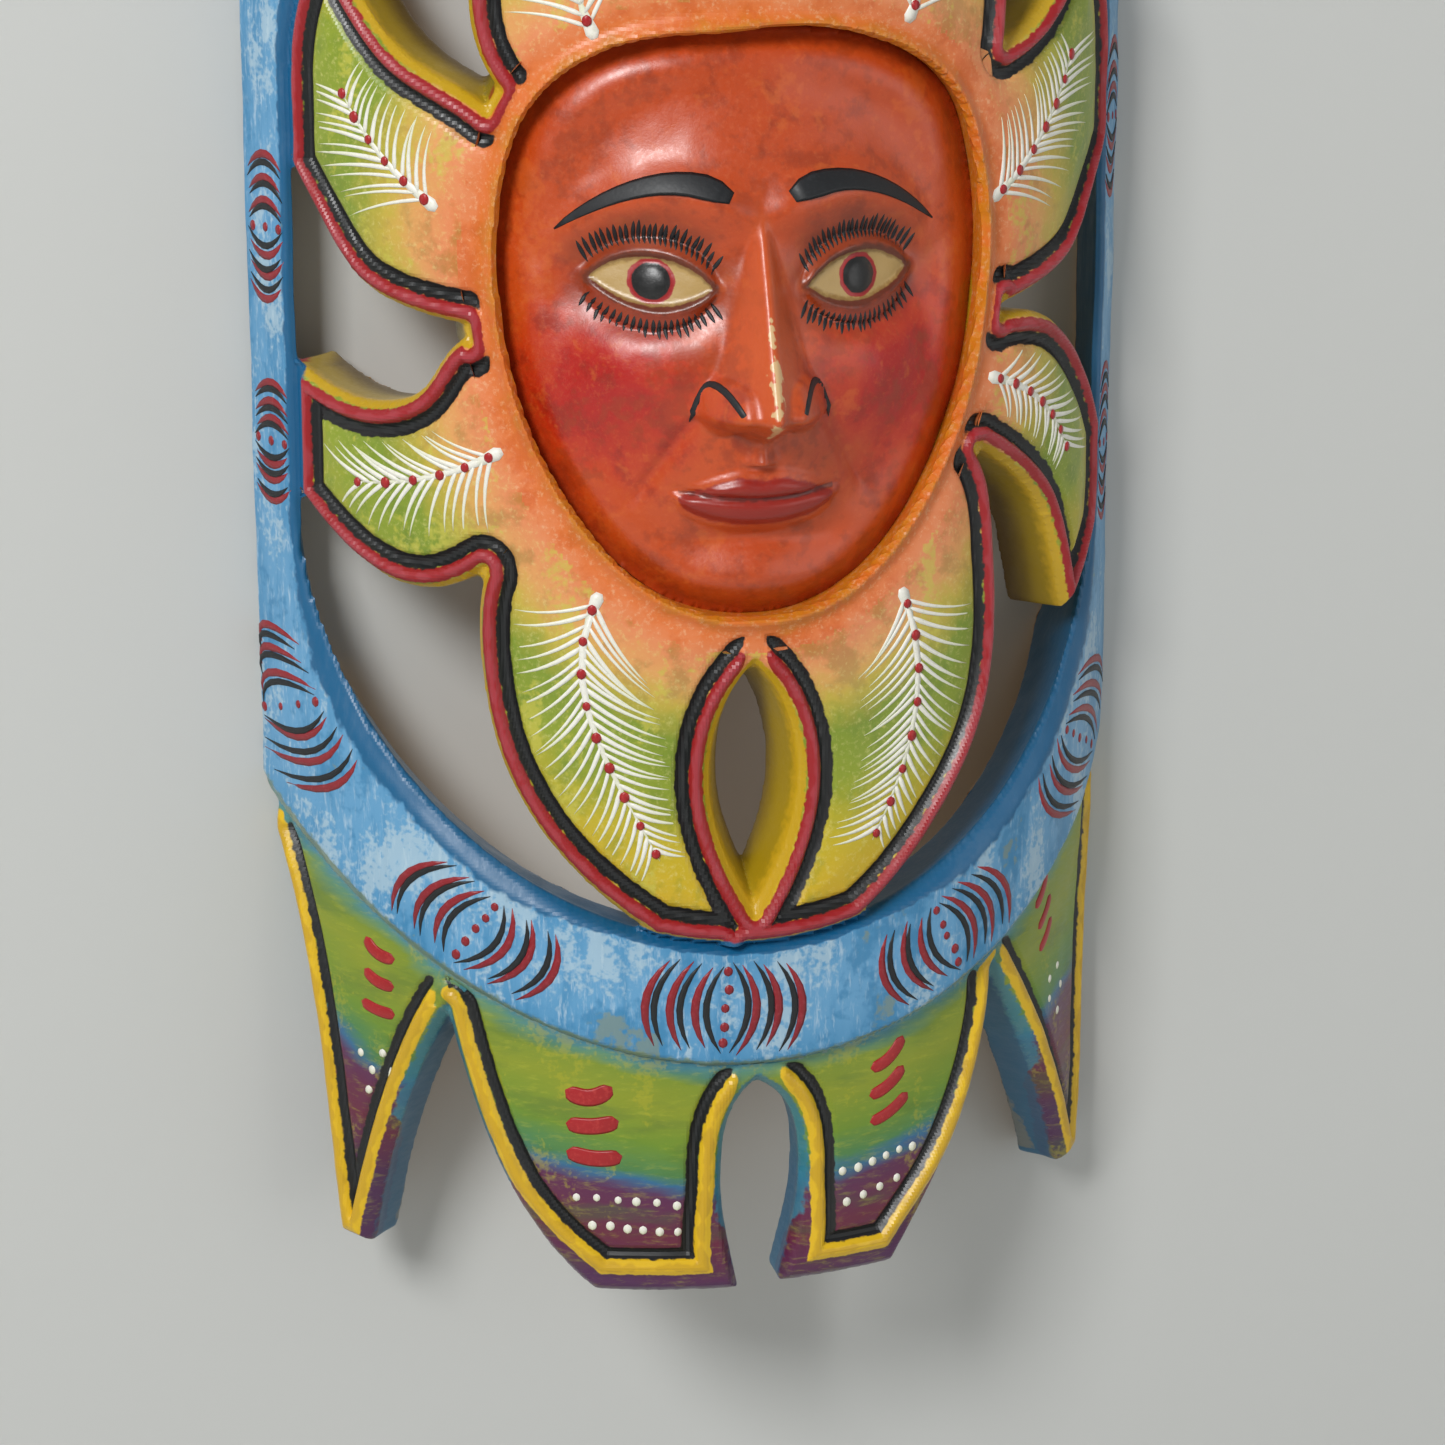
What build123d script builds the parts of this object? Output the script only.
from build123d import *
from math import asin, cos, hypot, radians, sin
import os

# A carved and painted wall mask, cut from a half log.  Millimetres, +Z up, +X to the viewer's
# right, front towards -Y.  The flat back lies on the wall plane Y = 0 and the origin is the
# middle of that plane.

# ---------------------------------------------------------------- driving dimensions
LOG_RADIUS = 150.0          # front surface of the half log
FRONT_DEPTH = 95.0          # how far the middle of the front stands off the wall
SHELL = 22.0                # thickness left after the back was hollowed
TAB_STEP = 4.0              # how far the tabs are set back behind the frame
LOG_HALF_LENGTH = 320.0     # the log is longer than the mask, which is sawn from it

OPENING_HALF = 127.0        # half width of the opening inside the frame
ARCH_CENTRE = 65.0          # height of the centre of each round end of the frame
ARCH_OUTER = 166.0          # outside radius of the round ends

FACE_WALL = 14.0            # carved thickness of the face
DOME_RADIUS = 66.0          # the face's round middle, seen from above
DOME_HEIGHT = 96.0          # half height of the same
DOME_CENTRE = 39.0          # distance of the dome's axis from the wall
EYE_HEIGHT = 10.0
EYE_SPACING = 31.0
NOSE_BASE = -32.0
MOUTH_HEIGHT = -52.0
CHIN_HEIGHT = -74.0
CHIN_RADIUS = 20.0
CHIN_DEPTH = 77.0           # depths are measured off the wall
SOCKET_RADIUS = 24.0
SOCKET_DEPTH = 115.0
EYE_RADIUS = 12.0
EYE_DEPTH = 83.0
NOSE_ROOT = 88.0
NOSE_SECTIONS = [(24.0, 5.0, 106.0), (-26.0, 15.0, 127.0), (NOSE_BASE, 14.0, 110.0)]
BROW_HALF = 52.0
BROW_END = 22.0
BROW_TOP = 39.0
BROW_UNDER = 30.0
BROW_DIP = 27.0
BROW_THICK = 6.0
LIP_HALF = 24.0
LIP_RISE = 8.0
RELIEF = 4.0                # height of brows and lips above the face
COLLAR_WIDTH = 10.0         # the orange border round the face

LEAF_ANGLE = 42.0           # the side leaves are cut square to the log at this angle
CHIN_LEAF_ANGLE = 17.0      # and the leaves of the chin and crown at this one

HANGER_X = 125.5            # the two ring hangers, let into the back
HANGER_Z = 128.0
RING_WIRE = 1.25            # radius of the ring's wire
RING_HALF = 5.5             # half width of the ring, middle of wire
RING_RISE = 10.5            # hinge to the top of the ring
RING_FOOT_BEND = 1.6
RING_TOP_BEND = 5.0
HINGE_DEPTH = 3.0           # hinge line below the wall plane
KNUCKLE_OUTER = 2.6
KNUCKLE_INNER = 1.32
KNUCKLE_LENGTH = 7.0
STRAP_WIDTH = 8.0
STRAP_LENGTH = 27.0
STRAP_THICKNESS = 1.2
POCKET_HALF = 7.5
POCKET_ABOVE = 14.0
POCKET_GAP = 1.0            # play left below the strap
POCKET_CORNER = 3.0
STRAP_CORNER = 2.0
SCREW_RADIUS = 1.4
SCREW_LENGTH = 7.0
SCREW_HEAD = 2.7
SCREW_HEAD_HEIGHT = 1.2
SCREW_DROPS = (10.0, 20.0)  # screws below the hinge line

AXIS_Y = LOG_RADIUS - FRONT_DEPTH
REACH = 2 * LOG_RADIUS      # long enough to pass through the whole log

os.makedirs("parts", exist_ok=True)


# ---------------------------------------------------------------- helpers
def half_log(outer, inner):
    """The hollowed half log between two radii, in front of the wall plane."""
    with BuildPart() as log:
        with BuildSketch(Plane.XY.offset(-LOG_HALF_LENGTH)):
            with Locations((0, AXIS_Y)):
                Circle(outer)
                Circle(inner, mode=Mode.SUBTRACT)
        extrude(amount=2 * LOG_HALF_LENGTH)
        split(bisect_by=Plane.XZ, keep=Keep.TOP)
    return log.part


def log_plane(angle):
    """A plane that touches the front of the log at an angle from its middle."""
    turn = radians(angle)
    outward = Vector(sin(turn), -cos(turn), 0)
    origin = Vector(0, AXIS_Y, 0) + outward * LOG_RADIUS
    return Plane(origin=origin, x_dir=(cos(turn), sin(turn), 0), z_dir=outward)


def on_log(points, angle):
    """Points given as seen from the front, moved onto the plane that touches at an angle."""
    return [(LOG_RADIUS * sin(asin(x / LOG_RADIUS) - radians(angle)), z) for x, z in points]


def turned_over(edges, side=1, end=1):
    """The same outline on the other side or the other end of the mask."""
    return [[(side * x, end * z) for x, z in edge] for edge in edges]


def draw(edges):
    """Draws the edges of an outline: two points are a straight edge, more are a smooth one."""
    for edge in edges:
        if len(edge) > 2:
            Spline(*edge)
        else:
            Line(*edge)


def carved(label, edges, shell, angle=0.0, neighbours=()):
    """One carved piece: its outline cut through the log, square to it at an angle."""
    with BuildPart() as piece:
        with BuildSketch(log_plane(angle)):
            with BuildLine():
                draw(on_log(edge, angle) for edge in edges)
            make_face()
        extrude(amount=REACH / 2, both=True)
        add(shell, mode=Mode.INTERSECT)
        for other in neighbours:
            add(other, mode=Mode.SUBTRACT)
    piece.part.label = label
    export_step(piece.part, f"parts/{label}.step")
    return piece.part


front_log = half_log(LOG_RADIUS, LOG_RADIUS - SHELL)
tab_log = half_log(LOG_RADIUS - TAB_STEP, LOG_RADIUS - SHELL)

# ---------------------------------------------------------------- ring hangers and their pockets
hinge_y = -HINGE_DEPTH
strap_back = -HINGE_DEPTH - KNUCKLE_OUTER


def hanger(side):
    """A strap with a rolled knuckle, two screws and a swinging ring, on one side of the back."""
    name = "left" if side < 0 else "right"
    x = side * HANGER_X
    hinge = Plane(origin=(x, hinge_y, HANGER_Z), x_dir=(0, 1, 0), z_dir=(1, 0, 0))
    back = Plane(origin=(x, strap_back, HANGER_Z), x_dir=(1, 0, 0), z_dir=(0, 1, 0))
    screw_points = [(0, drop) for drop in SCREW_DROPS]

    with BuildPart() as strap:
        with BuildSketch(back):
            with Locations((0, STRAP_LENGTH / 2)):
                RectangleRounded(STRAP_WIDTH, STRAP_LENGTH, STRAP_CORNER)
        extrude(amount=STRAP_THICKNESS)
        with BuildSketch(hinge):
            Circle(KNUCKLE_OUTER)
        extrude(amount=KNUCKLE_LENGTH / 2, both=True)
        with BuildSketch(hinge):
            Circle(KNUCKLE_INNER)
        extrude(amount=STRAP_WIDTH, both=True, mode=Mode.SUBTRACT)
        with BuildSketch(back):
            with Locations(*screw_points):
                Circle(SCREW_RADIUS)
        extrude(amount=STRAP_THICKNESS, mode=Mode.SUBTRACT)
    strap.part.label = f"hanger_strap_{name}"
    export_step(strap.part, f"parts/hanger_strap_{name}.step")

    with BuildPart() as screws:
        with BuildSketch(back.offset(-SCREW_LENGTH)):
            with Locations(*screw_points):
                Circle(SCREW_RADIUS)
        extrude(amount=SCREW_LENGTH + STRAP_THICKNESS)
        with BuildSketch(back.offset(STRAP_THICKNESS)):
            with Locations(*screw_points):
                Circle(SCREW_HEAD)
        extrude(amount=SCREW_HEAD_HEIGHT)
    screws.part.label = f"hanger_screws_{name}"
    export_step(screws.part, f"parts/hanger_screws_{name}.step")

    with BuildPart() as ring:
        with BuildLine(Plane(origin=(x, hinge_y, HANGER_Z), x_dir=(1, 0, 0), z_dir=(0, -1, 0))) as wire:
            FilletPolyline(
                (RING_HALF, 0), (RING_HALF, RING_RISE), (-RING_HALF, RING_RISE), (-RING_HALF, 0),
                radius=(RING_FOOT_BEND, RING_TOP_BEND, RING_TOP_BEND, RING_FOOT_BEND), close=True)
        with BuildSketch(Plane(origin=wire.line @ 0, z_dir=wire.line % 0)):
            Circle(RING_WIRE)
        sweep(path=wire.line)
    ring.part.label = f"hanger_ring_{name}"
    export_step(ring.part, f"parts/hanger_ring_{name}.step")

    pocket_low = HANGER_Z - STRAP_LENGTH - POCKET_GAP
    pocket_high = HANGER_Z + POCKET_ABOVE
    with BuildPart() as pocket:
        with BuildSketch(Plane(origin=(x, strap_back, (pocket_low + pocket_high) / 2),
                               x_dir=(1, 0, 0), z_dir=(0, 1, 0))):
            RectangleRounded(2 * POCKET_HALF, pocket_high - pocket_low, POCKET_CORNER)
        extrude(amount=2 * KNUCKLE_OUTER + 2 * HINGE_DEPTH)
    return [screws.part, pocket.part]


recesses = hanger(-1) + hanger(1)


# ---------------------------------------------------------------- frame
def rail(side):
    """One straight side of the blue frame, wedge shaped because the log curves away."""
    name = "left" if side < 0 else "right"
    with BuildPart() as piece:
        with BuildSketch(Plane.XZ):
            with Locations((side * (OPENING_HALF + LOG_RADIUS) / 2, 0)):
                Rectangle(LOG_RADIUS - OPENING_HALF, 2 * ARCH_CENTRE)
        extrude(amount=REACH / 2, both=True)
        add(front_log, mode=Mode.INTERSECT)
    piece.part.label = f"frame_rail_{name}"
    export_step(piece.part, f"parts/frame_rail_{name}.step")
    return piece.part


def arch(end):
    """One round end of the blue frame; the upper one is let out for the ring hangers."""
    name = "lower" if end < 0 else "upper"
    with BuildPart() as piece:
        with BuildSketch(Plane.XZ):
            with Locations((0, end * ARCH_CENTRE)):
                Circle(ARCH_OUTER)
                Circle(OPENING_HALF, mode=Mode.SUBTRACT)
            with Locations((0, end * (ARCH_CENTRE + REACH / 2))):
                Rectangle(2 * REACH, REACH, mode=Mode.INTERSECT)
        extrude(amount=REACH / 2, both=True)
        add(front_log, mode=Mode.INTERSECT)
        if end > 0:
            for recess in recesses:
                add(recess, mode=Mode.SUBTRACT)
    piece.part.label = f"frame_arch_{name}"
    export_step(piece.part, f"parts/frame_arch_{name}.step")
    return piece.part


frame = [rail(-1), rail(1), arch(-1), arch(1)]
lower_arch, upper_arch = frame[2:]

# ---------------------------------------------------------------- face and collar
FACE_OUTLINE = [
    (0, 84), (38, 80), (62, 64), (72, 36), (73, 6), (66, -30), (49, -63), (26, -84),
    (0, -90), (-26, -84), (-49, -63), (-66, -30), (-73, 6), (-72, 36), (-62, 64), (-38, 80)]


def face_border(growth):
    """The face's outline, pushed out from its middle by a growth."""
    route = [(x * (1 + growth / hypot(x, z)), z * (1 + growth / hypot(x, z))) for x, z in FACE_OUTLINE]
    with BuildSketch(Plane.XZ) as border:
        with BuildLine():
            Spline(*route, periodic=True)
        make_face()
    return border.sketch


def dome(growth):
    """The round middle of the face as a solid, larger by a growth all round."""
    centre = Plane(origin=(0, -DOME_CENTRE, 0), x_dir=(1, 0, 0), z_dir=(0, -1, 0))
    with BuildPart() as solid:
        with BuildSketch(centre):
            Ellipse(DOME_RADIUS + growth, DOME_HEIGHT + growth)
            with Locations((-REACH / 2, 0)):
                Rectangle(REACH, 2 * REACH, mode=Mode.SUBTRACT)
        revolve(axis=Axis((0, -DOME_CENTRE, 0), (0, 0, 1)))
    return solid.part


def nose_section(height, half_width, depth):
    """A triangle across the nose at one height, its ridge at a depth off the wall."""
    with BuildSketch(Plane.XY.offset(height)) as section:
        Polygon((-half_width, -NOSE_ROOT), (half_width, -NOSE_ROOT), (0, -depth), align=None)
    return section.sketch


with BuildPart() as nose:
    loft([nose_section(*section) for section in NOSE_SECTIONS], ruled=True)

with BuildPart() as brows:
    with BuildSketch(Plane.XZ):
        with BuildLine():
            ThreePointArc((-BROW_HALF, BROW_END), (-BROW_HALF / 2, BROW_TOP), (0, BROW_DIP))
            ThreePointArc((0, BROW_DIP), (BROW_HALF / 2, BROW_TOP), (BROW_HALF, BROW_END))
            ThreePointArc((BROW_HALF, BROW_END), (BROW_HALF / 2, BROW_UNDER), (0, BROW_DIP - BROW_THICK))
            ThreePointArc((0, BROW_DIP - BROW_THICK), (-BROW_HALF / 2, BROW_UNDER), (-BROW_HALF, BROW_END))
        make_face()
    extrude(amount=REACH / 2)
    add(dome(RELIEF), mode=Mode.INTERSECT)

with BuildPart() as lips:
    with BuildSketch(Plane.XZ):
        with BuildLine():
            ThreePointArc((-LIP_HALF, MOUTH_HEIGHT), (0, MOUTH_HEIGHT + LIP_RISE), (LIP_HALF, MOUTH_HEIGHT))
            ThreePointArc((LIP_HALF, MOUTH_HEIGHT), (0, MOUTH_HEIGHT - LIP_RISE), (-LIP_HALF, MOUTH_HEIGHT))
        make_face()
    extrude(amount=REACH / 2)
    add(dome(RELIEF), mode=Mode.INTERSECT)

with BuildPart() as face:
    with BuildSketch(Plane.XY.offset(-REACH / 2)):
        with Locations((0, AXIS_Y)):
            Circle(LOG_RADIUS)
    extrude(amount=REACH)
    add(dome(0))
    with Locations(*[(side * EYE_SPACING, -SOCKET_DEPTH, EYE_HEIGHT) for side in (-1, 1)]):
        Sphere(SOCKET_RADIUS, mode=Mode.SUBTRACT)
    with Locations(*[(side * EYE_SPACING, -EYE_DEPTH, EYE_HEIGHT) for side in (-1, 1)]):
        Sphere(EYE_RADIUS)
    with Locations((0, -CHIN_DEPTH, CHIN_HEIGHT)):
        Sphere(CHIN_RADIUS)
    add(brows.part)
    add(nose.part)
    add(lips.part)
    with BuildSketch(Plane.XZ):
        add(face_border(0))
    extrude(amount=REACH, mode=Mode.INTERSECT)
    with BuildSketch(Plane.XY.offset(-REACH / 2)):
        with Locations((0, AXIS_Y)):
            Circle(LOG_RADIUS - FACE_WALL)
    extrude(amount=REACH, mode=Mode.SUBTRACT)
    add(dome(-FACE_WALL), mode=Mode.SUBTRACT)
face.part.label = "face"
export_step(face.part, "parts/face.step")

with BuildPart() as collar:
    with BuildSketch(Plane.XZ):
        add(face_border(COLLAR_WIDTH))
        add(face_border(0), mode=Mode.SUBTRACT)
    extrude(amount=REACH / 2, both=True)
    add(front_log, mode=Mode.INTERSECT)
collar.part.label = "collar"
export_step(collar.part, "parts/collar.step")

# ---------------------------------------------------------------- leaves, seen from the front
LEFT_UPPER_LEAF = [
    [(-76, 60), (-86, 67), (-98, 75), (-107, 87), (-117, 112)],
    [(-117, 112), (-125, 101), (-129, 80), (-129, 48), (-121, 26), (-111, 8), (-97, 0), (-74, -4)],
    [(-74, -4), (-76, 60)]]
LEFT_CHEEK_LEAF = [
    [(-74, -6), (-89, -13), (-95, -23), (-104, -28), (-116, -27), (-129, -19)],
    [(-129, -19), (-129, -58)],
    [(-129, -58), (-120, -70), (-109, -80), (-97, -84), (-84, -80), (-70, -66)],
    [(-70, -66), (-50, -45)],
    [(-50, -45), (-74, -6)]]
RIGHT_UPPER_LEAF = [
    [(64, 58), (77, 74), (88, 79), (98, 87), (106, 98), (114, 112)],
    [(114, 112), (124, 101), (129, 82), (129, 50), (120, 26), (110, 9), (98, 2), (85, -2), (70, -5)],
    [(70, -5), (64, 58)]]
RIGHT_CHEEK_LEAF = [
    [(68, -7), (85, -5), (101, -8), (114, -20), (122, -34), (129, -52)],
    [(129, -52), (129, -72)],
    [(129, -72), (123, -88), (113, -105)],
    [(113, -105), (108, -88), (101, -69), (88, -54), (66, -40)],
    [(66, -40), (68, -7)]]
CHIN_SLIT = [(0, -182), (-9, -164), (-14, -143), (-10, -118), (0, -104)]
CHIN_ROOT = [
    [(0, -104), (0, -80)],
    [(0, -80), (-40, -60)]]
LEFT_CHIN_LEAF = [
    [(-62, -56), (-79, -80), (-80, -107), (-74, -136), (-60, -162), (-42, -180), (-28, -190)],
    [(-28, -190), (0, -195)],
    [(0, -195), (0, -182)],
    CHIN_SLIT,
    *CHIN_ROOT,
    [(-40, -60), (-62, -56)]]
RIGHT_CHIN_LEAF = [
    [(58, -34), (76, -50), (81, -75), (82, -104), (77, -131), (63, -157), (45, -178), (30, -190)],
    [(30, -190), (0, -195)],
    [(0, -195), (0, -182)],
    *turned_over([CHIN_SLIT, *CHIN_ROOT], side=-1),
    [(40, -60), (58, -34)]]

with BuildPart() as middle:
    with BuildSketch(Plane.XZ):
        add(face_border(COLLAR_WIDTH))
    extrude(amount=REACH / 2, both=True)

carved_so_far = [*frame, middle.part]
side_leaves = [
    ("leaf_temple_left", LEFT_UPPER_LEAF, -LEAF_ANGLE),
    ("leaf_cheek_left", LEFT_CHEEK_LEAF, -LEAF_ANGLE),
    ("leaf_temple_right", RIGHT_UPPER_LEAF, LEAF_ANGLE),
    ("leaf_cheek_right", RIGHT_CHEEK_LEAF, LEAF_ANGLE)]
centre_leaves = [
    ("leaf_chin_left", LEFT_CHIN_LEAF, -CHIN_LEAF_ANGLE),
    ("leaf_chin_right", RIGHT_CHIN_LEAF, CHIN_LEAF_ANGLE),
    ("leaf_crown_left", turned_over(LEFT_CHIN_LEAF, end=-1), -CHIN_LEAF_ANGLE),
    ("leaf_crown_right", turned_over(RIGHT_CHIN_LEAF, end=-1), CHIN_LEAF_ANGLE)]
for label, edges, angle in side_leaves + centre_leaves:
    carved_so_far.append(carved(label, edges, front_log, angle, carved_so_far))

# ---------------------------------------------------------------- tabs below and above the frame
LEFT_PRONG = [
    [(-145, -148), (-135, -190), (-129, -240), (-124, -303)],
    [(-124, -303), (-117, -304)],
    [(-117, -304), (-110, -268), (-104, -246), (-92, -216)],
    [(-92, -216), (-92, -195)],
    [(-92, -195), (-145, -148)]]
LEFT_LOBE = [
    [(-92, -216), (-86, -243), (-74, -276), (-50, -307)],
    [(-50, -307), (0, -307)],
    [(0, -307), (2, -215)],
    [(2, -215), (-92, -195)],
    [(-92, -195), (-92, -216)]]
RIGHT_LOBE = [
    [(2, -215), (4, -306)],
    [(4, -306), (50, -306)],
    [(50, -306), (69, -275), (80, -250), (86, -213)],
    [(86, -213), (86, -198)],
    [(86, -198), (2, -215)]]
LOBE_SLIT = [
    [(-3, -310), (-8, -286), (-9, -264), (-6, -248), (2, -238)],
    [(2, -238), (12, -247), (16, -265), (14, -286), (8, -310)],
    [(8, -310), (-3, -310)]]
RIGHT_PRONG = [
    [(86, -213), (101, -240), (113, -266), (126, -301)],
    [(126, -301), (132, -300)],
    [(132, -300), (134, -250), (136, -200), (145, -148)],
    [(145, -148), (86, -198)],
    [(86, -198), (86, -213)]]

tabs = [
    ("prong_left", LEFT_PRONG, -LEAF_ANGLE),
    ("lobe_left", LEFT_LOBE, -CHIN_LEAF_ANGLE),
    ("lobe_right", RIGHT_LOBE, CHIN_LEAF_ANGLE),
    ("prong_right", RIGHT_PRONG, LEAF_ANGLE)]
for end, place, joined in ((1, "lower", lower_arch), (-1, "upper", upper_arch)):
    with BuildPart() as slit:
        with BuildSketch(Plane.XZ):
            with BuildLine():
                draw(turned_over(LOBE_SLIT, end=end))
            make_face()
        extrude(amount=REACH / 2, both=True)
    made = [joined, slit.part]
    for label, edges, angle in tabs:
        made.append(carved(f"{place}_{label}", turned_over(edges, end=end), tab_log, angle, made))
